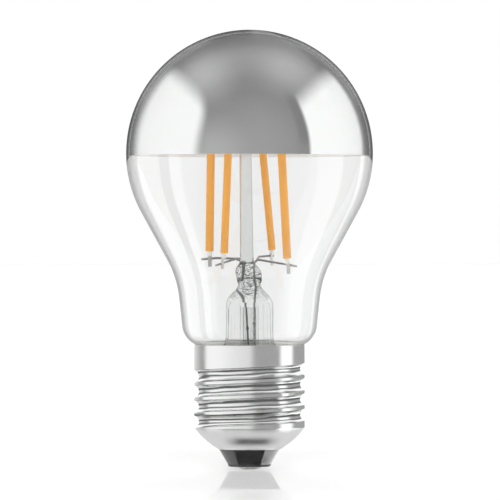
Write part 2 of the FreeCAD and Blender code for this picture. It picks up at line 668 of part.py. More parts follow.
filament_frames = {}
for name, (foot, head) in ENDS.items():
    frame = filament_frame(foot, head)
    filament_frames[name] = frame
    lit = f"{(head - foot).Length}"
    full = f"({lit} + 2 * sizes.strip_bare)"
    carrier = keep(block(f"{name}_carrier", frame, "sizes.strip_width", "sizes.strip_thick",
                         full, "0", "-sizes.strip_thick / 2", "-sizes.strip_bare"),
                   f"{name}_carrier")
    count = int(value("sizes.chip_count"))
    step = (head - foot).Length / count
    chip_size = [value(f"sizes.chip_{side}") for side in ("width", "thick", "length")]
    chips = Part.makeCompound([
        Part.makeBox(*chip_size, Vector(-chip_size[0] / 2,
                                        -value(STRIP_BACK) - chip_size[1],
                                        (place + 0.5) * step - chip_size[2] / 2))
        for place in range(count)])
    chips.Placement = frame
    chip_row = keep(shape_piece(f"{name}_chips", chips), f"{name}_chips")
    coat_block = block(f"{name}_coat_block", frame, "sizes.phosphor_width",
                       "sizes.phosphor_thick", lit, "0", "-sizes.phosphor_thick / 2", "0")
    doc.recompute()
    coat = doc.addObject("Part::Fillet", f"{name}_coat")
    coat.Base = coat_block
    coat_round = 0.4 * value("sizes.phosphor_thick")
    along = frame.Rotation.multVec(Vector(0, 0, 1))
    coat.Edges = [(number, coat_round, coat_round)
                  for number in long_edges(coat_block.Shape, along)]
    inner = fuse(f"{name}_inner", [carrier, chip_row])
    keep(cut(f"{name}_phosphor", coat, inner), f"{name}_phosphor")
    lower = "-sizes.strip_bare + sizes.tab_lap - sizes.tab_length"
    upper = f"{lit} + sizes.strip_bare - sizes.tab_lap"
    for tab, start in (("lower_tab", lower), ("upper_tab", upper)):
        keep(block(f"{name}_{tab}", frame, "sizes.tab_width", "sizes.tab_thick",
                   "sizes.tab_length", "0", STRIP_BACK, start), f"{name}_{tab}")


def at_tab(filament, outward, z, end="lower"):
    """Place of a wire's centre where it lies against the back of a filament's tab."""
    foot, head = ENDS[filament]
    frame = filament_frames[filament]
    height = z if end == "lower" else (head - foot).Length + z
    facing = frame.Rotation.multVec(Vector(1, 0, 0)).dot(Vector(foot.x, foot.y, 0))
    across = math.copysign(outward, facing * outward)
    return frame.multVec(Vector(across, value(WIRE_BACK), height))


# Lead wires run from the driver board through the stem and the bead. The right one bends to
# filament 4 and carries a branch to filament 3, the left one to filament 1 with a branch to 2.

LEAD_FOOT = value(f"{BOARD} - sizes.wire_end")
LEADS = {
    "lead_wire_right": [
        Vector(1.1, -2.45, LEAD_FOOT), at_bead(1.1, -2.45, 3.6),
        at_tab("filament_4", -1.6, -1.2), at_tab("filament_4", 2.1, -2.0)],
    "lead_wire_left": [
        Vector(-0.3, 2.5, LEAD_FOOT), at_bead(-0.3, 2.5, -16.9), at_bead(-0.95, 2.4, -5.7),
        at_bead(-0.9, 2.3, 3.6), at_tab("filament_1", -1.6, -1.6),
        at_tab("filament_1", 2.3, -2.0)],
}
KNOT_RUNS = {"lead_wire_right": (0, 0.54), "lead_wire_left": (1, 0.34)}

for name, places in LEADS.items():
    run, share = KNOT_RUNS[name]
    knot_place = places[run] + (places[run + 1] - places[run]) * share
    knot = Part.makeSphere(value("sizes.knot_radius"), knot_place)
    keep(shape_piece(name, wire_solid(places).fuse(knot)), name)

BRANCHES = {
    "branch_wire_back": [
        at_bead(1.45, -2.1, 2.9), at_bead(2.3, -0.4, 4.1),
        at_tab("filament_3", -1.4, -1.3), at_tab("filament_3", 1.6, -1.5)],
    "branch_wire_front": [
        at_bead(-1.3, 2.0, 2.8), at_bead(-3.3, 0.6, 3.6),
        at_tab("filament_2", -1.6, -2.0), at_tab("filament_2", 2.1, -3.0)],
}
for name, places in BRANCHES.items():
    keep(shape_piece(name, wire_solid(places)), name)

# The wires are melted into the stem, so its glass has their shape cut out of it.

lead_wires = [node for node in nodes if node.Label.startswith("lead_wire")]
stem_glass = keep(cut("stem_glass", stem, fuse("stem_wires", lead_wires)), "stem_glass")

# Exhaust tube inside the stem, melted shut at its lower tip.

TUBE_BORE = "(sizes.exhaust_radius - sizes.exhaust_wall)"
TUBE_TIP = f"({BOARD_TOP} + sizes.tip_clearance)"
keep(turned_piece("exhaust_tube", [
    ("0", TUBE_TIP, "sizes.exhaust_radius", 1),
    ("sizes.exhaust_radius", f"{TUBE_TIP} + sizes.exhaust_radius"),
    ("sizes.exhaust_radius", BORE_TOP),
    (TUBE_BORE, BORE_TOP),
    (TUBE_BORE, f"{TUBE_TIP} + sizes.exhaust_radius", TUBE_BORE, -1),
    ("0", f"{TUBE_TIP} + sizes.exhaust_wall"),
]), "exhaust_tube")

# Centre rod: a tapered glass rod that stands on the bead, with a button on its head. Two
# link wires pass through the button and join the filaments' upper tabs in pairs.

rod_cone = doc.addObject("Part::Cone", "rod_cone")
bind(rod_cone, Radius1="sizes.rod_radius", Radius2="sizes.rod_top_radius",
     Height=f"{ROD_TOP} - {BEAD}")
rod_button = doc.addObject("Part::Sphere", "rod_button")
bind(rod_button, Radius="sizes.button_radius")
rod_frame = Placement(Vector(-value("sizes.rod_shift"), 0, value(BEAD)),
                      Rotation(Vector(0, 1, 0), -value("sizes.rod_lean")))
rod_head = rod_frame.multVec(Vector(0, 0, value(f"{ROD_TOP} - {BEAD}")))
rod_cone.Placement = rod_frame
rod_button.Placement = Placement(rod_head, Rotation())

LINKS = {
    "link_wire_back": ("filament_1", "filament_3", "sizes.link_spread"),
    "link_wire_front": ("filament_2", "filament_4", "-sizes.link_spread"),
}
links = []
for name, (left, right, side) in LINKS.items():
    middle = rod_head + Vector(0, value(side), 0)
    reach = Vector(value("sizes.button_radius") + 1, 0, 0)
    places = [at_tab(left, 1.0, 2.8, "upper"), at_tab(left, -1.6, 2.8, "upper"),
              middle - reach, middle + reach,
              at_tab(right, -1.6, 2.8, "upper"), at_tab(right, 1.0, 2.8, "upper")]
    links.append(keep(shape_piece(name, wire_solid(places)), name))
rod_form = fuse("rod_form", [rod_cone, rod_button])
keep(cut("centre_rod", rod_form, fuse("rod_seat", [stem_glass] + links)), "centre_rod")

# Driver: a round board that rests on the inside of the rolled thread, with its parts below.

BOARD_SIDE = f"({THREAD_BACK} - sizes.board_clearance)"
RESISTOR_TOP = f"({BOARD} - sizes.resistor_drop)"
RESISTOR_FOOT = f"({RESISTOR_TOP} - sizes.resistor_length)"
board_disc = cylinder("board_disc", BOARD_SIDE, "sizes.board_thick", BOARD)

resistor_core = turned_piece("resistor_body", [
    ("0", RESISTOR_FOOT),
    ("sizes.resistor_radius", RESISTOR_FOOT),
    ("sizes.resistor_radius", f"{RESISTOR_FOOT} + sizes.resistor_cap"),
    ("0.85 * sizes.resistor_radius", f"{RESISTOR_FOOT} + 1.3 * sizes.resistor_cap"),
    ("0.85 * sizes.resistor_radius", f"{RESISTOR_TOP} - 1.3 * sizes.resistor_cap"),
    ("sizes.resistor_radius", f"{RESISTOR_TOP} - sizes.resistor_cap"),
    ("sizes.resistor_radius", RESISTOR_TOP),
    ("0", RESISTOR_TOP),
])
resistor_lead = cylinder("resistor_lead", "sizes.wire_radius",
                         f"{BOARD_TOP} + sizes.joint_rise - {RESISTOR_TOP}", RESISTOR_TOP)
fuse_resistor = keep(fuse("fuse_resistor", [resistor_core, resistor_lead]), "fuse_resistor")
keep(cylinder("live_wire", "sizes.wire_radius", f"{RESISTOR_FOOT} - sizes.contact_skin",
              "sizes.contact_skin"), "live_wire")

can = cylinder("capacitor_can", "sizes.capacitor_radius", "sizes.capacitor_length",
               f"{BOARD} - sizes.capacitor_length",
               f"{BOARD_SIDE} - sizes.capacitor_radius - sizes.capacitor_margin",
               "sizes.capacitor_back")
doc.recompute()
can_edge = [number for number, edge in enumerate(can.Shape.Edges, start=1)
            if edge.Closed and edge.CenterOfMass.z < value(BOARD) - 1]
capacitor = doc.addObject("Part::Fillet", "capacitor")
capacitor.Base = can
can_round = value("sizes.capacitor_round")
capacitor.Edges = [(number, can_round, can_round) for number in can_edge]
keep(capacitor, "capacitor")


def chip_package(name, side, legs):
    """Moulded package under the board with a row of legs on each long side."""
    under = value(BOARD)
    gap = value("sizes.package_gap")
    x = -value("sizes.package_left")
    y = side * value("sizes.package_apart") / 2
    width, depth, thick = (value(f"sizes.package_{size}") for size in ("wide", "deep", "thick"))
    body = Part.makeBox(width, depth, thick,
                        Vector(x - width / 2, y - depth / 2, under - gap - thick))
    leg_size = (value("sizes.leg_wide"), value("sizes.leg_long"), 0.5 * thick + gap)
    pitch = width / legs
    rows = [Part.makeBox(*leg_size, Vector(
                x - width / 2 + (leg + 0.5) * pitch - leg_size[0] / 2,
                y + (depth / 2 if row > 0 else -depth / 2 - leg_size[1]),
                under - leg_size[2]))
            for row in (-1, 1) for leg in range(legs)]
    keep(shape_piece(name, body.multiFuse(rows).removeSplitter()), name)


chip_package("rectifier", -1, 2)
chip_package("driver_chip", 1, 4)
sense_size = [value(f"sizes.sense_{side}") for side in ("long", "deep", "thick")]
sense_resistors = [
    Part.makeBox(*sense_size, Vector(
        value("sizes.sense_right") + place * value("sizes.sense_pitch"),
        -value("sizes.sense_front"), value(BOARD) - sense_size[2]))
    for place in range(2)]
keep(shape_piece("sense_resistors", Part.makeCompound(sense_resistors)), "sense_resistors")

# The shell wire leaves the board and ends against the inside of the cap at the left: on the
# back of the first groove well above the board, or on the skirt where the thread ends lower.

grooves_up = math.ceil((value(f"{BOARD_TOP} - sizes.thread_start") + value("sizes.shell_rise"))
                       / value("sizes.thread_pitch"))
SHELL_TOUCH = value(f"sizes.thread_start + {grooves_up} * sizes.thread_pitch")
WALL_INSIDE = value(THREAD_BACK if 2 * grooves_up <= HALF_TURNS else CAVITY_SIDE)
wire_side = value("sizes.shell_reach") - WALL_INSIDE
shell_wire = wire_solid([
    Vector(wire_side, 0, LEAD_FOOT), Vector(wire_side, 0, SHELL_TOUCH),
    Vector(value("sizes.shell_gap") - WALL_INSIDE, 0, SHELL_TOUCH)], 1.0)
shell_wire = keep(shape_piece("shell_wire", shell_wire), "shell_wire")
board_wires = fuse("board_wires", lead_wires + [fuse_resistor, shell_wire])
keep(cut("driver_board", board_disc, board_wires), "driver_board")

# Every piece is checked before any file is written.

doc.recompute()
failed = [item.Label for item in doc.Objects
          if "Invalid" in item.State or "Error" in item.State]
if failed:
    raise SystemExit(f"objects that failed: {failed}")
for node in nodes:
    if node.Shape.isNull() or not node.Shape.isValid() or not node.Shape.Solids:
        raise SystemExit(f"{node.Label} has no valid solid")

os.makedirs("parts", exist_ok=True)
for node in nodes:
    node.Shape.exportStep(os.path.join("parts", f"{node.Label}.step"))
    print(f"{node.Label}: {len(node.Shape.Solids)} solid(s), {node.Shape.Volume:.1f} cubic mm")
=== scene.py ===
# %% [markdown]
# # A mirror-head filament lamp
# The lamp is a clear blown bulb whose upper half is silvered on the inside, so the light goes back
# down into the lampshade. Below it stand four yellow light filaments round a glass rod. A rolled
# metal screw cap, a black glass insulator and the contact make its foot.
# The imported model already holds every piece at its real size. This lesson gives each piece its
# finish, remakes the few pieces that clear glass needs in a cleaner form, and lights the lamp
# like a catalogue picture.

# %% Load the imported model
import math

import bmesh
import bpy
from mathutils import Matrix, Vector
from mathutils.noise import seed_set, turbulence_vector


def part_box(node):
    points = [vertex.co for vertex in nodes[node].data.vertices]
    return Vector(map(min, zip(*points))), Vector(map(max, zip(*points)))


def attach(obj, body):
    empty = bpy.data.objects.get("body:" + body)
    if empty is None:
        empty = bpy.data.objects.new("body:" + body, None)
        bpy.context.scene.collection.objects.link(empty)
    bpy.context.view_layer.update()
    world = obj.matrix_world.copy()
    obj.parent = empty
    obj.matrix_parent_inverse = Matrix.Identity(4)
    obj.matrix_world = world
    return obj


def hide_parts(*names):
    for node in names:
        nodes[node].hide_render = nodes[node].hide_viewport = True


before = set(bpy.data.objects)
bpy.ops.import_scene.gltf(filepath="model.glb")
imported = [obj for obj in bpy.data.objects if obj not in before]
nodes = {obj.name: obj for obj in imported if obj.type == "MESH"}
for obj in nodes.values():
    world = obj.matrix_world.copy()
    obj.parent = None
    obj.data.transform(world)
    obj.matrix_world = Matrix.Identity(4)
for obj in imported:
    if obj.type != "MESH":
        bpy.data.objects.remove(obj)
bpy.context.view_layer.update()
scene = bpy.context.scene
MM = 0.001

# %% [markdown]
# ## The camera
# A catalogue picture of a small lamp is taken from far away with a long lens, so the edges of the
# cap stay level. The lens follows from the distance and from the height that the picture shows.

# %% Camera
PICTURE_HEIGHT = 119.59 * MM
CAMERA_DISTANCE = 1.5
AIM = Vector((0.12 * MM, 0.0, 52.33 * MM))

camera_data = bpy.data.cameras.new("long_lens")
camera_data.lens = camera_data.sensor_width * CAMERA_DISTANCE / PICTURE_HEIGHT
camera_data.clip_start = 0.1
camera_data.clip_end = 50
camera = bpy.data.objects.new("camera", camera_data)
camera.location = AIM + Vector((0, -CAMERA_DISTANCE, 0))
camera.rotation_euler = (math.radians(90), 0, 0)
scene.collection.objects.link(camera)
scene.camera = camera
scene.view_settings.view_transform = "Standard"
print("lens in mm:", round(camera_data.lens, 1))

# %% [markdown]
# ## Small helpers for shader nodes
# The room and every finish are chains of nodes. One helper adds a node and either fills or links
# its sockets. The others are the few sums that painting with numbers needs: a product, a soft
# step, a soft band, and one level laid over another through a mask.

# %% Node helpers
def add(tree, kind, inputs=None, **settings):
    """Adds a node; a socket given as an input is linked, any other value is set."""
    made = tree.nodes.new(kind)
    for key, value in settings.items():
        setattr(made, key, value)
    for key, value in (inputs or {}).items():
        if isinstance(value, bpy.types.NodeSocket):
            tree.links.new(value, made.inputs[key])
        else:
            made.inputs[key].default_value = value
    return made


def calc(tree, operation, first, second=0.0):
    """One sum of two numbers or sockets."""
    return add(tree, "ShaderNodeMath", {0: first, 1: second}, operation=operation).outputs[0]


def times(tree, first, *others):
    """The product of numbers or sockets."""
    for other in others:
        first = calc(tree, "MULTIPLY", first, other)
    return first


def soft_step(tree, value, low, high, bottom=0.0, top=1.0):
    """A smooth change from bottom at low to top at high."""
    sockets = {"Value": value, "From Min": low, "From Max": high, "To Min": bottom, "To Max": top}
    made = add(tree, "ShaderNodeMapRange", sockets, interpolation_type="SMOOTHSTEP")
    return made.outputs["Result"]


def soft_fall(tree, value, low, high):
    """A smooth fall from 1 at low to 0 at high."""
    return soft_step(tree, value, low, high, 1.0, 0.0)


def band(tree, value, low, high, soft):
    """1 between low and high, 0 outside, with soft edges."""
    return times(tree, soft_step(tree, value, low - soft, low + soft),
                 soft_fall(tree, value, high - soft, high + soft))


def lay_over(tree, under, level, mask):
    """Puts a level over another where the mask is 1."""
    made = add(tree, "ShaderNodeMix", {0: mask, 2: under, 3: level}, data_type="FLOAT")
    return made.outputs[0]


def grey(level):
    """An even grey as a colour."""
    return (level, level, level, 1)


def grey_ramp(tree, value, stops):
    """A grey that runs through (place, level) stops; the places lie between 0 and 1."""
    ramp = add(tree, "ShaderNodeValToRGB", {0: value})
    elements = ramp.color_ramp.elements
    while len(elements) < len(stops):
        elements.new(0.5)
    for element, (where, level) in zip(elements, stops):
        element.position = where
        element.color = grey(level)
    return ramp.outputs[0]


print("node helpers are ready")

# %% [markdown]
# ## The room: white paper and softboxes
# A mirror shows the room more than itself, so the room is painted with care. The lamp stands in
# front of white paper. In the mirror head two tall softboxes show at the left and right, with a
# mid grey between them. The clear glass shows narrow strips of the same lights, and the satin cap
# a broad light from the left. Each direction is named by the surface slope that would reflect the
# front view into it, which makes the patches easy to place.

# %% World
world = bpy.data.worlds.new("studio")
scene.world = world
world.use_nodes = True
sky = world.node_tree
sky.nodes.clear()
world.cycles.sampling_method = "NONE"

ray = add(sky, "ShaderNodeLightPath").outputs
outward = add(sky, "ShaderNodeTexCoord").outputs["Generated"]
halfway = add(sky, "ShaderNodeVectorMath", {0: outward, 1: (0, -1, 0)}, operation="ADD")
slope = add(sky, "ShaderNodeVectorMath", {0: halfway.outputs[0]}, operation="NORMALIZE")
slope_axes = add(sky, "ShaderNodeSeparateXYZ", {0: slope.outputs[0]}).outputs
across, depth, upward = slope_axes["X"], slope_axes["Y"], slope_axes["Z"]
turn = calc(sky, "DEGREES", calc(sky, "ARCTAN2", across, times(sky, depth, -1.0)))
outward_axes = add(sky, "ShaderNodeSeparateXYZ", {0: outward}).outputs
print("sky nodes so far:", len(sky.nodes))

# %% [markdown]
# ### What the mirror head shows
# A mirror dome shows each slope once, so across and upward are also places on the dome in the
# picture, in radii. Grey rings come first, then three faint glows, then the paper's edge at the
# rim. The levels are raised by what the glass and the silver take away.

# %% The mirror's room
FILM_GAIN = 1.25
RIM_LEVEL = 0.56
DOME_RINGS = ((0.0, 0.325), (0.15, 0.315), (0.33, 0.285), (0.5, 0.237), (0.6, 0.25),
              (0.7, 0.305), (0.79, 0.33), (0.85, 0.30), (0.9, 0.24), (0.94, 0.215),
              (0.97, 0.22), (1.0, 0.15))
# Each glow has a place across and upward, a radius and a strength.
GLOWS = ((-0.36, 0.62, 0.34, 0.17), (0.30, 0.70, 0.32, 0.12), (-0.34, 0.0, 0.40, 0.16))


def away_from(tree, across_at, upward_at):
    """How far a slope lies from a place on the dome, in radii."""
    aside = calc(tree, "SUBTRACT", across, across_at)
    above = calc(tree, "SUBTRACT", upward, upward_at)
    squares = calc(tree, "ADD", times(tree, aside, aside), times(tree, above, above))
    return calc(tree, "SQRT", squares)


from_middle = away_from(sky, 0.0, 0.0)
mirror_room = grey_ramp(sky, from_middle, [(p, v * FILM_GAIN) for p, v in DOME_RINGS])
for across_at, upward_at, radius, strength in GLOWS:
    away = away_from(sky, across_at, upward_at)
    mirror_room = calc(sky, "ADD", mirror_room, soft_step(sky, away, 0.0, radius, strength, 0.0))
rim = times(sky, band(sky, from_middle, 0.968, 0.992, 0.008),
            soft_step(sky, calc(sky, "ABSOLUTE", across), 0.2, 0.45),
            soft_step(sky, upward, 0.3, 0.55))
mirror_room = lay_over(sky, mirror_room, RIM_LEVEL, rim)
print("rings and glows on the dome:", len(DOME_RINGS), len(GLOWS))

# %% [markdown]
# ### Two softboxes
# Two tall softboxes give the white patches at the left and the right. Their inner edges curve,
# since the dome bends straight lines, and the right one starts with a thin dark line, which is
# the frame of the box. Each box is a product of soft edges: an inner one, the rim and a top.

# %% The two softboxes in the mirror
LEFT_BOX_LEVEL = 1.16
RIGHT_BOX_LEVEL = 1.18
BOX_FRAME_LEVEL = 0.235

left_edge = calc(sky, "SUBTRACT", across, soft_step(sky, upward, 0.0, 0.38, -0.44, -0.38))
left_top = calc(sky, "ADD", across, upward)
left_box = times(sky, soft_fall(sky, left_edge, -0.05, 0.055),
                 soft_fall(sky, from_middle, 0.9, 0.985),
                 soft_fall(sky, left_top, -0.08, 0.17))
mirror_room = lay_over(sky, mirror_room, LEFT_BOX_LEVEL, left_box)

right_edge = calc(sky, "ADD", across, times(sky, upward, upward, 0.6))
right_top = calc(sky, "SUBTRACT", upward, times(sky, across, 0.95))
box_frame = times(sky, band(sky, right_edge, 0.42, 0.50, 0.03),
                  band(sky, upward, 0.08, 0.46, 0.06), 0.8)
mirror_room = lay_over(sky, mirror_room, BOX_FRAME_LEVEL, box_frame)
right_box = times(sky, soft_step(sky, right_edge, 0.485, 0.52),
                  soft_fall(sky, from_middle, 0.92, 0.95),
                  soft_fall(sky, right_top, -0.1, 0.17))
mirror_room = lay_over(sky, mirror_room, RIGHT_BOX_LEVEL, right_box)
print("softboxes at:", LEFT_BOX_LEVEL, RIGHT_BOX_LEVEL)

# %% [markdown]
# ### Through the glass
# Every way through the clear glass ends on the white paper, from any side. A ray that has met the
# mirror on its way sees the mirror's room instead.

# %% Seen straight through the glass
PAPER_LEVEL = 0.985

met_mirror = calc(sky, "GREATER_THAN", ray["Glossy Depth"], 0.5)
through_room = lay_over(sky, PAPER_LEVEL, mirror_room, met_mirror)
print("paper behind the glass:", PAPER_LEVEL)

# %% [markdown]
# ### Strips on the clear glass
# The straight flank of the glass shows the lights as tall strips that follow its outline. A strip
# is given by its turn round the axis in degrees, from the camera's side. Glass mirrors only a
# twentieth of the light, so the lights are stronger here than in the mirror head. Over the silver
# the glass adds a faint sheen, and the lip, which looks down, gets one even light.

# %% The glass's strips
STRIP_STOPS = ((-90, 0.9), (-66, 0.75), (-64.5, 1.75), (-47.5, 1.9), (-46.5, 0.0), (-41, 0.0),
               (-40, 2.7), (-34.5, 2.7), (-33, 1.15), (8, 1.15), (20, 1.6), (33, 1.8),
               (34.5, 2.8), (48.5, 2.7), (50, 1.0), (63, 0.7), (64.5, 1.9), (67, 1.9),
               (69, 1.1), (80, 0.95), (90, 0.9))
LEFT_SHEEN, RIGHT_SHEEN, FAR_RIGHT_SHEEN = 0.1, 0.38, 0.12
LIP_LEVEL = 0.9

turn_share = calc(sky, "DIVIDE", calc(sky, "ADD", turn, 90.0), 180.0)
strips = grey_ramp(sky, turn_share, [((p + 90) / 180, v) for p, v in STRIP_STOPS])
glass_room = soft_step(sky, turn, -8.0, 14.0, LEFT_SHEEN, RIGHT_SHEEN)
glass_room = lay_over(sky, glass_room, FAR_RIGHT_SHEEN, soft_step(sky, turn, 44, 50))
glass_room = lay_over(sky, glass_room, strips, soft_fall(sky, upward, -0.012, -0.004))
glass_room = lay_over(sky, glass_room, LIP_LEVEL, soft_fall(sky, upward, -0.66, -0.53))
print("stops of the strips:", len(STRIP_STOPS))

# %% [markdown]
# ### Lights on the satin cap
# The cap mirrors a broad light from the left and a narrow one from the right. The thread's sloping
# sides look up and down, where dark and light bands make the fine lines of each turn. A soft dark
# patch lies low on the shoulder, and the black glass cone meets two windows.

# %% The cap's lights
CAP_GREY, CAP_EDGE = 0.4, 0.75
LEFT_LIGHT_OUTER, LEFT_LIGHT_INNER, RIGHT_LIGHT = 1.05, 0.82, 1.25
# Each band has a lowest and a highest upward slope, a soft edge and a level.
THREAD_BANDS = ((0.18, 0.38, 0.05, 0.14), (0.47, 0.84, 0.05, 1.1), (0.92, 1.1, 0.04, 0.1),
                (-0.55, -0.22, 0.07, 0.12), (-0.88, -0.62, 0.03, 0.73),
                (-1.1, -0.93, 0.03, 0.15))
PATCH_MIDDLE, PATCH_HALF, PATCH_LEVEL = 0.03, 0.3, 0.12
CONE_GREY, LEFT_WINDOW, RIGHT_WINDOW = 0.08, 0.75, 2.0

cap_room = soft_step(sky, turn, -78, -58, CAP_EDGE, CAP_GREY)
left_light = soft_step(sky, turn, -40.0, 0.0, LEFT_LIGHT_OUTER, LEFT_LIGHT_INNER)
cap_room = lay_over(sky, cap_room, left_light, band(sky, turn, -53, 3, 4.0))
cap_room = lay_over(sky, cap_room, RIGHT_LIGHT, band(sky, turn, 34, 51, 3.0))
for low, high, soft, level in THREAD_BANDS:
    cap_room = lay_over(sky, cap_room, level, band(sky, upward, low, high, soft))
patch = times(sky, band(sky, calc(sky, "SUBTRACT", across, PATCH_MIDDLE),
                        -PATCH_HALF, PATCH_HALF, 0.16),
              band(sky, upward, -0.81, -0.72, 0.035))
cap_room = lay_over(sky, cap_room, PATCH_LEVEL, patch)
cone_room = lay_over(sky, CONE_GREY, LEFT_WINDOW, soft_fall(sky, turn, -32, -29))
cone_room = lay_over(sky, cone_room, RIGHT_WINDOW, soft_step(sky, turn, 29, 32))
cap_room = lay_over(sky, cap_room, cone_room, band(sky, upward, -0.6, -0.515, 0.01))
cap_room = lay_over(sky, cap_room, 1.0, soft_step(sky, outward_axes["Y"], 0.990, 0.996))
print("bands that the thread shows:", len(THREAD_BANDS))

# %% [markdown]
# ### The light on matt surfaces
# Light from in front and from behind, at about 30 degrees, keeps the shadow on the floor narrow
# and close to the lamp's foot. What stands inside the glass is lit evenly from all sides.

# %% The light that falls on matt surfaces
EVEN_LEVEL = 0.44
LOW_LIGHT_LEVEL = 11.7
INSIDE_LEVEL = 1.9

low_light = times(sky, band(sky, outward_axes["Z"], 0.32, 0.64, 0.05),
                  band(sky, outward_axes["X"], -0.3, 0.3, 0.06))
matt_room = lay_over(sky, EVEN_LEVEL, LOW_LIGHT_LEVEL, low_light)
inside_glass = calc(sky, "GREATER_THAN", ray["Transmission Depth"], 0.5)
matt_room = lay_over(sky, matt_room, INSIDE_LEVEL, inside_glass)
print("even light and low light:", EVEN_LEVEL, LOW_LIGHT_LEVEL)

# %% [markdown]
# ### One sky from all the rooms
# The kind of ray chooses its room: sharp mirror rays the glass's strips, blurred ones the cap's
# lights, bent ones the paper, scattered ones the even light. The camera itself sees plain white.

# %% All together
room = lay_over(sky, cap_room, glass_room, ray["Is Singular Ray"])
room = lay_over(sky, room, through_room, ray["Is Transmission Ray"])
room = lay_over(sky, room, matt_room, calc(sky, "GREATER_THAN", ray["Diffuse Depth"], 0.5))
room = lay_over(sky, room, 1.0, ray["Is Camera Ray"])
backdrop = add(sky, "ShaderNodeBackground", {"Color": grey(1.0), "Strength": room})
add(sky, "ShaderNodeOutputWorld", {"Surface": backdrop.outputs[0]})
print("sky nodes:", len(sky.nodes))

# %% [markdown]
# ## Helpers for finishes
# A finish starts as an empty material. Its patterns read Object coordinates, so they keep their
# real size and stay with the piece. Noise gives the cloudy changes in colour and gloss that every
# real surface has, and bump the fine unevenness that is too small to model.

# %% Finish helpers
def new_finish(name):
    """An empty material with its output, ready for nodes."""
    made = bpy.data.materials.new(name)
    made.use_nodes = True
    made.node_tree.nodes.clear()
    output = made.node_tree.nodes.new("ShaderNodeOutputMaterial")
    return made, made.node_tree, output


def cover(tree, output, kind, sockets):
    """Closes a finish with its shader."""
    shader = add(tree, kind, sockets)
    tree.links.new(shader.outputs[0], output.inputs["Surface"])


def place(tree, stretch=(1, 1, 1)):
    """Object coordinates in metres, stretched along the axes."""
    source = add(tree, "ShaderNodeTexCoord").outputs["Object"]
    return add(tree, "ShaderNodeMapping", {"Vector": source, "Scale": stretch}).outputs[0]


def height_of(tree):
    """The height above the contact, in metres."""
    return add(tree, "ShaderNodeSeparateXYZ", {0: place(tree)}).outputs["Z"]


def noise(tree, size, detail=4.0, stretch=(1, 1, 1)):
    """Grey noise whose patches are about this size in metres."""
    sockets = {"Vector": place(tree, stretch), "Scale": 1 / size, "Detail": detail}
    return add(tree, "ShaderNodeTexNoise", sockets).outputs["Fac"]


def blend_colours(tree, factor, first, second):
    """A colour between two colours or sockets."""
    made = add(tree, "ShaderNodeMix", {0: factor, 6: first, 7: second}, data_type="RGBA")
    return made.outputs[2]


def cloudy(tree, cloud, low, high):
    """A gloss that changes with a cloud of noise."""
    return soft_step(tree, cloud, 0.3, 0.7, low, high)


def bump(tree, height, distance):
    """A bump normal from a height socket; distance is the real height in metres."""
    sockets = {"Height": height, "Distance": distance}
    return add(tree, "ShaderNodeBump", sockets).outputs["Normal"]


def wear(finish, *names):
    """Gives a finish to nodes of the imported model."""
    for name in names:
        for slot in nodes[name].material_slots:
            slot.material = finish
    print(finish.name, "on", len(names), "nodes")


# %% [markdown]
# ## The floor
# The floor is a pale glossy sheet. The camera sees its own white, its soft shadow and a faint
# mirror image of the lamp's foot; reflected and refracted rays pass through it to the paper.

# %% Floor
FLOOR_HALF = 20.0
FLOOR_PAINT = 0.8
FLOOR_SHINE = 0.33
FLOOR_GLOW = 0.105

floor_mesh = bmesh.new()
bmesh.ops.create_grid(floor_mesh, x_segments=1, y_segments=1, size=FLOOR_HALF)
floor_data = bpy.data.meshes.new("floor")
floor_mesh.to_mesh(floor_data)
floor_mesh.free()
floor = bpy.data.objects.new("floor", floor_data)
scene.collection.objects.link(floor)

floor_finish, tree, output = new_finish("floor_sheet")
floor_ray = add(tree, "ShaderNodeLightPath").outputs
paint = add(tree, "ShaderNodeBsdfDiffuse", {"Color": grey(FLOOR_PAINT)}).outputs[0]
gloss = add(tree, "ShaderNodeBsdfGlossy", {"Color": grey(1.0), "Roughness": 0.02}).outputs[0]
white = add(tree, "ShaderNodeEmission", {"Strength": FLOOR_GLOW}).outputs[0]
sheet = add(tree, "ShaderNodeMixShader", {0: FLOOR_SHINE, 1: paint, 2: gloss}).outputs[0]
sheet = add(tree, "ShaderNodeAddShader", {0: sheet, 1: white}).outputs[0]
see_through = calc(tree, "MAXIMUM", floor_ray["Is Glossy Ray"], floor_ray["Is Transmission Ray"])
opening = add(tree, "ShaderNodeBsdfTransparent").outputs[0]
cover(tree, output, "ShaderNodeMixShader", {0: see_through, 1: sheet, 2: opening})
floor_data.materials.append(floor_finish)
print("floor width in m:", 2 * FLOOR_HALF)

# %% [markdown]
# ## Drawing and turning an outline
# Nearly everything in a bulb is round, and glass shows each flaw in its surface. So these pieces
# are turned from an outline that is drawn with arcs and lines in the XZ plane, with many fine
# steps, and the wall, the seam and both poles are closed.

# %% Turning tools
TURN_STEPS = 256
MERGE_DISTANCE = 0.0005 * MM
SHARP_ANGLE = 40


def pen_start(bm, x, z):
    """The first point of an outline in the XZ plane."""
    return bm.verts.new((x, 0, z))


def pen_line(bm, tip, x, z):
    """A straight run from the tip to a new point."""
    made = bmesh.ops.extrude_vert_indiv(bm, verts=[tip])["verts"][0]
    made.co = (x, 0, z)
    return made


def pen_arc(bm, tip, centre_x, centre_z, degrees, steps):
    """An arc from the tip round a centre; positive turns Z towards X."""
    made = bmesh.ops.spin(bm, geom=[tip], cent=(centre_x, 0, centre_z), axis=(0, 1, 0),
                          dvec=(0, 0, 0), angle=math.radians(degrees), steps=steps,
                          use_merge=False, use_duplicate=False)
    return [v for v in made["geom_last"] if isinstance(v, bmesh.types.BMVert)][0]


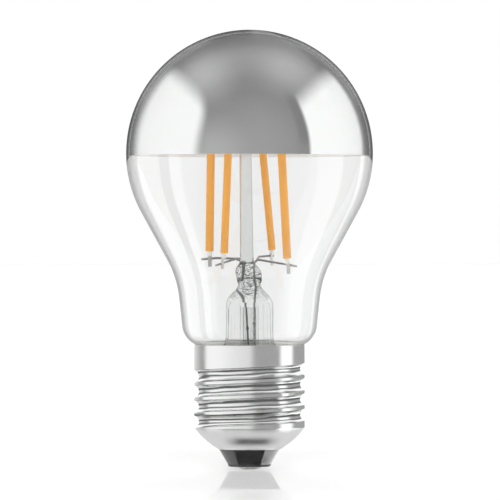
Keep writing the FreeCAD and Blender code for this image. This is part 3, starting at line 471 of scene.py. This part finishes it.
def turn_outline(bm, steps=TURN_STEPS):
    """Spins the whole outline round the axis, closes its poles and turns its faces outwards."""
    bmesh.ops.spin(bm, geom=bm.verts[:] + bm.edges[:], cent=(0, 0, 0), axis=(0, 0, 1),
                   dvec=(0, 0, 0), angle=math.radians(360), steps=steps, use_merge=True,
                   use_duplicate=False)
    bmesh.ops.remove_doubles(bm, verts=bm.verts[:], dist=MERGE_DISTANCE)
    bmesh.ops.recalc_face_normals(bm, faces=bm.faces[:])


def finish_piece(bm, name, slot, finishes, *stands_for, levels=0):
    """Makes the object, rides it on the part's body and hides the parts it stands for."""
    data = bpy.data.meshes.new(name)
    for face in bm.faces:
        face.smooth = True
    bm.to_mesh(data)
    bm.free()
    data.set_sharp_from_angle(angle=math.radians(SHARP_ANGLE))
    for finish in finishes:
        data.materials.append(finish)
    piece = bpy.data.objects.new(name, data)
    scene.collection.objects.link(piece)
    if levels:
        smooth = piece.modifiers.new("smooth", "SUBSURF")
        smooth.levels = smooth.render_levels = levels
    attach(piece, "root")
    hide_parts(*stands_for)
    triangles = sum(len(p.vertices) - 2 for p in data.polygons) * 4 ** levels
    print(name, "triangles:", triangles)


# %% [markdown]
# ## Clear glass
# Blown soda glass has slow waves in its wall and a faint grey green in its depth, which shows most
# where the eye looks along the wall. The stem is pressed hot with pincers, so curled creases stay
# in it. Their refraction shows as fine dark lines, which are painted shade: dark grey in the
# glass's colour. Drawn tube has upright streaks. Creases and streaks are finer than any mesh
# should be, so they are colour in the glass.

# %% Glass finish
WALL_VIEW = 0.87
# The next three numbers paint the dark lines of the pressed creases into the glass's colour:
# painted shade for their refraction.
FOLD_SHADE_WIDTH = 0.06
FOLD_SHADE_GREY = 0.1
FOLD_SHADE_FADE = 0.6 * MM


def with_streaks(tree, colour, width, level):
    """Upright streaks of a grey, as in drawn tube."""
    drawn = noise(tree, width, detail=2.0, stretch=(1, 1, 0.02))
    return blend_colours(tree, soft_step(tree, drawn, 0.5, 0.72), colour, grey(level))


def with_fold_shade(tree, colour, low, high, size, dark):
    """Painted shade: curled dark lines between two heights, standing for the refraction of the
    pressed creases; size is that of their loops.
    """
    sockets = {"Vector": place(tree, (1, 1, 1.4)), "Scale": 1 / size, "Detail": 2.0,
               "Distortion": 1.5}
    curl = add(tree, "ShaderNodeTexNoise", sockets).outputs["Fac"]
    curl = calc(tree, "ABSOLUTE", calc(tree, "SUBTRACT", curl, 0.5))
    fold_shade = times(tree, soft_step(tree, curl, 0.0, FOLD_SHADE_WIDTH, dark, 0.0),
                  band(tree, height_of(tree), low, high, FOLD_SHADE_FADE))
    return blend_colours(tree, fold_shade, colour, grey(FOLD_SHADE_GREY))


def glass_finish(name, tint, bending, wave, edge=0.4, rough=0.0, fold_shade=None, streaks=None):
    """Clear glass. A wave is a patch size, a height and a stretch; edge is the grey that glass
    takes where it is seen along its wall."""
    made, tree, output = new_finish(name)
    size, rise, stretch = wave
    facing = add(tree, "ShaderNodeLayerWeight", {"Blend": 0.5}).outputs["Facing"]
    colour = blend_colours(tree, soft_step(tree, facing, WALL_VIEW, 1.0), tint, grey(edge))
    if streaks:
        colour = with_streaks(tree, colour, *streaks)
    # painted shade: the creases' refraction is painted as dark lines in the glass's colour
    if fold_shade:
        colour = with_fold_shade(tree, colour, *fold_shade)
    waves = noise(tree, size, detail=1.0, stretch=stretch)
    cover(tree, output, "ShaderNodeBsdfGlass",
          {"Color": colour, "Roughness": rough, "IOR": bending, "Normal": bump(tree, waves, rise)})
    return made


bulb_glass = glass_finish("blown_glass", (0.972, 0.975, 0.973, 1), 1.5,
                          (16 * MM, 0.006 * MM, (1, 1, 0.4)), edge=0.3)
# The stem's glass carries the painted shade of its creases.
stem_glass = glass_finish("pressed_glass", (0.97, 0.972, 0.971, 1), 1.33,
                          (0.7 * MM, 0.012 * MM, (1, 1, 0.1)),
                          fold_shade=(40.9 * MM, 48.6 * MM, 0.85 * MM, 0.9))
tube_glass = glass_finish("thin_tube", (0.96, 0.962, 0.961, 1), 1.08,
                          (0.6 * MM, 0.03 * MM, (1, 1, 0.08)), streaks=(0.7 * MM, 0.86))
bore_glass = glass_finish("tube_bore", grey(1.0), 1.01,
                          (0.6 * MM, 0.03 * MM, (1, 1, 0.08)), edge=0.9)
rod_glass = glass_finish("drawn_rod", (0.9, 0.905, 0.9, 1), 1.4,
                         (1.2 * MM, 0.02 * MM, (1, 1, 0.05)), edge=0.8, rough=0.22)
wear(tube_glass, "exhaust_tube")

# %% [markdown]
# ## The blown bulb
# The glass is blown into a mould: a round crown, a straight flank, a hollow waist, the neck, and a
# lip that turns in to the throat inside the cap. Its inner wall and its outside are the same
# outline, drawn once with the wall's inset and once without, and joined at the seal. The wall is
# drawn thinner than a real one, because a thick wall shows as a broad grey edge from afar.

# %% Blown bulb
GLASS_WALL = 0.35 * MM
FLANK_ANGLE = 28.7
NECK_ANGLE = 6.0
WAIST_BEND = 25.0 * MM
LIP_BEND = 5.6 * MM
LIP_CENTRE = Vector((10.55 * MM, 0, 34.75 * MM))
THROAT_BEND = 1.0 * MM
THROAT_SIDE = 11.5 * MM
CROWN_STEPS, WAIST_STEPS, LIP_STEPS, HOLLOW_STEPS = 84, 18, 16, 8

glass_low, glass_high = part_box("glass_bulb")
globe_radius = glass_high.x
globe_centre = Vector((0, 0, glass_high.z - globe_radius))


def leaning(degrees):
    """The outward direction that points this far below level."""
    return Vector((math.cos(math.radians(degrees)), 0, -math.sin(math.radians(degrees))))


lip_reach = LIP_BEND + THROAT_BEND
lip_turn = math.degrees(math.acos((THROAT_SIDE + THROAT_BEND - LIP_CENTRE.x) / lip_reach))
hollow = LIP_CENTRE + leaning(lip_turn) * lip_reach


def glass_side(bm, inset):
    """Draws the half outline of the glass from its pole down to the seal."""
    flank_out, neck_out = leaning(FLANK_ANGLE), leaning(NECK_ANGLE)
    flank_down = Vector((flank_out.z, 0, -flank_out.x))
    flank_top = globe_centre + flank_out * (globe_radius - inset)
    neck_foot = LIP_CENTRE + neck_out * (LIP_BEND - inset)
    waist_turn = (flank_out - neck_out) * (WAIST_BEND + inset)
    drop = (neck_foot - flank_top - waist_turn).dot(neck_out) / flank_down.dot(neck_out)
    flank_foot = flank_top + flank_down * drop
    waist = flank_foot + flank_out * (WAIST_BEND + inset)
    tip = pen_start(bm, 0, glass_high.z - inset)
    tip = pen_arc(bm, tip, 0, globe_centre.z, 90 + FLANK_ANGLE, CROWN_STEPS)
    tip = pen_line(bm, tip, flank_foot.x, flank_foot.z)
    tip = pen_arc(bm, tip, waist.x, waist.z, NECK_ANGLE - FLANK_ANGLE, WAIST_STEPS)
    tip = pen_line(bm, tip, neck_foot.x, neck_foot.z)
    tip = pen_arc(bm, tip, LIP_CENTRE.x, LIP_CENTRE.z, lip_turn - NECK_ANGLE, LIP_STEPS)
    tip = pen_arc(bm, tip, hollow.x, hollow.z, -lip_turn, HOLLOW_STEPS)
    return pen_line(bm, tip, THROAT_SIDE - inset, glass_low.z)


bm = bmesh.new()
bm.edges.new((glass_side(bm, 0), glass_side(bm, GLASS_WALL)))
turn_outline(bm)
finish_piece(bm, "blown_bulb", "clear_glass", [bulb_glass], "glass_bulb")

# %% [markdown]
# ## Coats and solids
# Cement, coats and moulded pieces differ in patches, in colour and in gloss, and have a fine
# unevenness. One helper makes them all from two colours, a patch size and two glosses.

# %% Plain finish
def plain_finish(name, first, second, patch, rough_low, rough_high, **more):
    """A coat whose colour and gloss vary in patches."""
    made, tree, output = new_finish(name)
    cloud = noise(tree, patch)
    cover(tree, output, "ShaderNodeBsdfPrincipled",
          {"Base Color": blend_colours(tree, cloud, first, second),
           "Roughness": cloudy(tree, cloud, rough_low, rough_high),
           "Normal": bump(tree, cloud, 0.02 * patch), **more})
    return made


CEMENT_GLOW = {"Emission Color": (0.95, 0.94, 0.92, 1), "Emission Strength": 0.35}

cement = plain_finish("cap_cement", (0.85, 0.83, 0.79, 1), (0.94, 0.92, 0.88, 1),
                      0.5 * MM, 0.8, 0.95, **CEMENT_GLOW)
print("first plain finish:", cement.name)

# %% [markdown]
# ## The cement
# Cement fills the gap between the throat and the cap up to the cap's rim, where it follows the
# hollow of the glass. It is turned from its own outline, since it shows through the clear lip. Its
# faint glow stands in for the light that real glass leads down into it.

# %% Cement ring
CEMENT_GAP = 0.03 * MM
CAP_GAP = 0.01 * MM
CEMENT_TOP = 29.5 * MM

cement_low, cement_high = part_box("cement_ring")
cap_side = cement_high.x - CAP_GAP
hollow_edge = hollow - leaning(lip_turn) * (THROAT_BEND - CEMENT_GAP)
bm = bmesh.new()
first = pen_start(bm, THROAT_SIDE + CEMENT_GAP, cement_low.z)
tip = pen_line(bm, first, cap_side, cement_low.z)
tip = pen_line(bm, tip, cap_side, CEMENT_TOP)
tip = pen_line(bm, tip, hollow_edge.x, hollow_edge.z)
tip = pen_arc(bm, tip, hollow.x, hollow.z, -lip_turn, HOLLOW_STEPS)
bm.edges.new((tip, first))
turn_outline(bm)
finish_piece(bm, "cement_fill", "cement", [cement], "cement_ring")

# %% [markdown]
# ## The stem and its rod
# A stem starts as a flared tube. Its hot upper end is pressed flat round the wires, and a bead of
# glass on top takes the thin rod, which melts into it and ends in a button. It starts as one
# coarse outline, turned in few steps, so that it can be pressed and smoothed afterwards.

# %% Stem outline
STEM_STEPS = 40
# Half depth and height of each ring, in mm: the button and rod, the bead and the stem's outside
# down to the flare, and its inside back up to the roof over the exhaust tube.
ROD_RINGS = ((0.9, 88.8), (1.75, 88.1), (2.05, 87.0), (1.75, 85.9), (1.4, 85.2), (1.4, 84.6),
             (1.44, 70.0), (1.58, 52.0), (1.62, 49.9))
STEM_OUTSIDE = ((1.75, 49.3), (2.2, 48.8), (2.85, 48.0), (3.15, 46.9), (3.05, 45.9), (3.4, 45.3),
                (4.3, 44.8), (4.95, 43.9), (5.3, 42.4), (5.55, 41.2), (5.64, 39.9), (5.64, 38.0),
                (5.64, 33.0), (5.7, 30.6), (6.1, 29.0), (7.0, 27.2), (8.6, 25.9), (10.6, 25.3))
STEM_INSIDE = ((10.5, 24.7), (8.2, 25.0), (6.5, 26.3), (5.4, 28.2), (4.8, 30.2), (4.72, 33.0),
               (4.72, 37.0), (4.65, 38.7), (4.1, 39.9), (3.2, 40.3), (2.5, 39.8), (2.1, 38.66),
               (0.8, 38.64))

bm = bmesh.new()
tip = pen_start(bm, 0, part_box("centre_rod")[1].z)
for side, rise in ROD_RINGS + STEM_OUTSIDE + STEM_INSIDE:
    tip = pen_line(bm, tip, side * MM, rise * MM)
pen_line(bm, tip, 0, STEM_INSIDE[-1][1] * MM)
turn_outline(bm, STEM_STEPS)
print("points of the coarse stem:", len(bm.verts))

# %% [markdown]
# ## Pressing the stem
# The pincers are a factor on the width that grows from the shoulder to the pinch and lets go at
# the bead. A slow sway makes the hot glass uneven; it starts from a fixed seed, so every run gives
# the same stem. The rod leans a little, as it does on the real lamp. A subdivision surface then
# smooths it all. The faces get four finishes by height and by side: pressed glass, rod, tube and
# the bore inside the tube.

# %% Pressed, swayed and leaning
SHOULDER, PINCH_TOP, BEAD_FOOT, ROD_FOOT = 40.0 * MM, 44.2 * MM, 45.6 * MM, 49.2 * MM
TUBE_TOP, BORE_SIDE = 40.5 * MM, 5.1 * MM
PRESSED = 0.48
SWAY_FOOT, SWAY_SIZE, SWAY_REACH = 36 * MM, 2.4 * MM, 0.14 * MM
ROD_SHIFT, ROD_LEAN = 0.6 * MM, 0.7
SWAY_SEED = 2
PRESSED_PART, ROD_PART, TUBE_PART, BORE_PART = range(4)

seed_set(SWAY_SEED)
for vert in bm.verts:
    rise = vert.co.z
    if rise > SHOULDER:
        press = min(1.0, (rise - SHOULDER) / (PINCH_TOP - SHOULDER))
        free = min(1.0, max(0.0, (rise - PINCH_TOP) / (BEAD_FOOT - PINCH_TOP)))
        vert.co.x *= 1 - (1 - PRESSED) * (press * press * (3 - 2 * press)) * (1 - free)
    if SWAY_FOOT < rise < ROD_FOOT:
        vert.co += turbulence_vector(vert.co / SWAY_SIZE, 2, False) * SWAY_REACH
    if rise > BEAD_FOOT:
        lean = (rise - BEAD_FOOT) * math.tan(math.radians(ROD_LEAN))
        vert.co.x -= ROD_SHIFT * min(1.0, (rise - BEAD_FOOT) / (ROD_FOOT - BEAD_FOOT)) + lean
for face in bm.faces:
    middle = face.calc_center_median()
    if middle.z > ROD_FOOT:
        face.material_index = ROD_PART
    elif middle.z > TUBE_TOP:
        face.material_index = PRESSED_PART
    elif math.hypot(middle.x, middle.y) < BORE_SIDE:
        face.material_index = BORE_PART
    else:
        face.material_index = TUBE_PART
bmesh.ops.recalc_face_normals(bm, faces=bm.faces[:])
finish_piece(bm, "stem_and_rod", "clear_glass", [stem_glass, rod_glass, tube_glass, bore_glass],
             "stem_glass", "centre_rod", levels=2)

# %% [markdown]
# ## The silver
# The mirror is a film of silver on the inner wall, bright and a little cloudy. Its back, which
# faces into the bulb, is a paler satin, which hides the far rim below the near one.

# %% Silver finishes
def film_finish(name, patch, dark, light, metallic, rough_low, rough_high):
    """One side of the film, cloudy in colour and gloss."""
    made, tree, output = new_finish(name)
    cloud = noise(tree, patch)
    cover(tree, output, "ShaderNodeBsdfPrincipled",
          {"Base Color": blend_colours(tree, cloud, dark, light), "Metallic": metallic,
           "Roughness": cloudy(tree, cloud, rough_low, rough_high)})
    return made


silver = film_finish("silver_film", 9 * MM, (0.93, 0.93, 0.925, 1), grey(0.96), 1.0, 0.03, 0.05)
film_back = film_finish("film_back", 5 * MM, grey(0.93), grey(0.97), 0.0, 0.5, 0.6)
print("silver finishes:", silver.name, film_back.name)

# %% [markdown]
# ## The silvered dome
# The film is its own thin shell, turned round the axis from an arc there and an arc back, and set
# a hair inside the place of the real wall's inner side, so that light always meets glass first.

# %% Mirror dome
FILM_GAP = 0.03 * MM
FILM_THICK = 0.05 * MM
DOME_STEPS = 72
SILVER_PART, BACK_PART = range(2)

film_low, film_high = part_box("mirror_coating")
dome_radius = film_high.x
dome_centre = Vector((0, 0, film_high.z - dome_radius))
outer = dome_radius - FILM_GAP
inner = outer - FILM_THICK
edge_rise = film_low.z - dome_centre.z

bm = bmesh.new()
tip = pen_start(bm, 0, dome_centre.z + outer)
tip = pen_arc(bm, tip, 0, dome_centre.z, math.degrees(math.acos(edge_rise / outer)), DOME_STEPS)
tip = pen_line(bm, tip, math.sqrt(inner ** 2 - edge_rise ** 2), film_low.z)
tip = pen_arc(bm, tip, 0, dome_centre.z, -math.degrees(math.acos(edge_rise / inner)), DOME_STEPS)
turn_outline(bm)
for face in bm.faces:
    outwards = (face.calc_center_median() - dome_centre).dot(face.normal) / dome_radius
    face.material_index = SILVER_PART if outwards >= 0.5 else BACK_PART
finish_piece(bm, "silvered_dome", "silver_mirror", [silver, film_back], "mirror_coating")
print("dome radius in mm:", round(dome_radius / MM, 3))

# %% [markdown]
# ## The metals
# The cap is drawn and rolled from thin sheet, so it has fine lines round the axis, and its thread
# is a little wavy from the rollers. The contact is tinned, the tabs are plated strip, and the
# wires are drawn. All of them are one satin metal with other colours and gloss.

# %% Metal finishes
LINE_SIZE, LINE_HEIGHT = 3 * MM, 0.004 * MM
CLOUD_SIZE = 2.5 * MM
DENT_SIZE, DENT_FADE = 8 * MM, 1.2 * MM


def metal_finish(name, dark, light, rough_low, rough_high, dents=None):
    """Satin metal with fine rolled lines round the axis and cloudy gloss; dents, where given,
    are a lowest and highest place and their height."""
    made, tree, output = new_finish(name)
    lines = noise(tree, LINE_SIZE, stretch=(1, 1, 12))
    cloud = noise(tree, CLOUD_SIZE)
    if dents:
        low, high, rise = dents
        slow = times(tree, noise(tree, DENT_SIZE, detail=1.0),
                     band(tree, height_of(tree), low, high, DENT_FADE), rise / LINE_HEIGHT)
        lines = calc(tree, "ADD", lines, slow)
    cover(tree, output, "ShaderNodeBsdfPrincipled",
          {"Base Color": blend_colours(tree, cloud, dark, light), "Metallic": 1.0,
           "Roughness": cloudy(tree, cloud, rough_low, rough_high),
           "Normal": bump(tree, lines, LINE_HEIGHT)})
    return made


cap_metal = metal_finish("rolled_cap", (0.82, 0.83, 0.82, 1), (0.9, 0.905, 0.9, 1), 0.14, 0.22,
                         dents=(12.5 * MM, 23 * MM, 0.9 * MM))
contact_metal = metal_finish("contact_tin", (0.62, 0.6, 0.56, 1), (0.75, 0.73, 0.7, 1), 0.22, 0.35)
tab_metal = metal_finish("plated_tab", (0.62, 0.61, 0.6, 1), (0.75, 0.74, 0.72, 1), 0.3, 0.4)
wire_metal = metal_finish("drawn_wire", (0.36, 0.35, 0.34, 1), (0.5, 0.49, 0.48, 1), 0.2, 0.3)
copper = metal_finish("copper_wire", (0.7, 0.33, 0.2, 1), (0.8, 0.42, 0.27, 1), 0.25, 0.35)
wear(cap_metal, "cap_shell")
wear(contact_metal, "centre_contact")
wear(wire_metal, "lead_wire_left", "lead_wire_right", "branch_wire_back", "branch_wire_front",
     "link_wire_back", "link_wire_front")
wear(copper, "live_wire", "shell_wire")

# %% [markdown]
# ## The black glass insulator
# The insulator is moulded black glass. It mirrors more sharply than any metal here, and a higher
# bending index makes its windows as bright as on the real lamp.

# %% Insulator
black_glass, tree, output = new_finish("black_glass")
cloud = noise(tree, 3 * MM)
cover(tree, output, "ShaderNodeBsdfPrincipled",
      {"Base Color": blend_colours(tree, cloud, (0.012, 0.012, 0.013, 1), grey(0.02)),
       "Roughness": 0.03, "IOR": 2.1, "Normal": bump(tree, cloud, 0.04 * MM)})
wear(black_glass, "insulator")

# %% [markdown]
# ## The light filaments
# A filament is a pale strip with a row of tiny blue chips under a yellow silicone coat, and has a
# plated tab at each end.

# %% Filaments
FILAMENTS = (1, 2, 3, 4)

phosphor = plain_finish("yellow_coat", (0.84, 0.33, 0.004, 1), (0.95, 0.42, 0.02, 1),
                        0.8 * MM, 0.4, 0.55)
carrier = plain_finish("clear_strip", (0.78, 0.78, 0.74, 1), (0.88, 0.88, 0.85, 1),
                       0.6 * MM, 0.2, 0.35)
chips = plain_finish("light_chips", (0.55, 0.62, 0.75, 1), (0.7, 0.75, 0.8, 1),
                     0.2 * MM, 0.1, 0.2)
for piece, finish in (("phosphor", phosphor), ("carrier", carrier), ("chips", chips),
                      ("lower_tab", tab_metal), ("upper_tab", tab_metal)):
    wear(finish, *(f"filament_{number}_{piece}" for number in FILAMENTS))

# %% [markdown]
# ## The driver inside the cap
# The driver is hidden by the cap, so plain true colours do: green laminate, black packages, a dark
# sleeve on the capacitor and a lacquered resistor.

# %% Driver
board = plain_finish("board_laminate", (0.03, 0.16, 0.07, 1), (0.05, 0.22, 0.1, 1),
                     1.2 * MM, 0.3, 0.5)
package = plain_finish("black_package", (0.02, 0.02, 0.022, 1), grey(0.035),
                       0.4 * MM, 0.45, 0.6)
can = plain_finish("capacitor_sleeve", (0.02, 0.03, 0.05, 1), (0.03, 0.04, 0.07, 1),
                   1 * MM, 0.25, 0.4)
resistor = plain_finish("resistor_coat", (0.35, 0.5, 0.42, 1), (0.42, 0.58, 0.5, 1),
                        0.6 * MM, 0.4, 0.5)
wear(board, "driver_board")
wear(package, "rectifier", "driver_chip", "sense_resistors")
wear(can, "capacitor")
wear(resistor, "fuse_resistor")
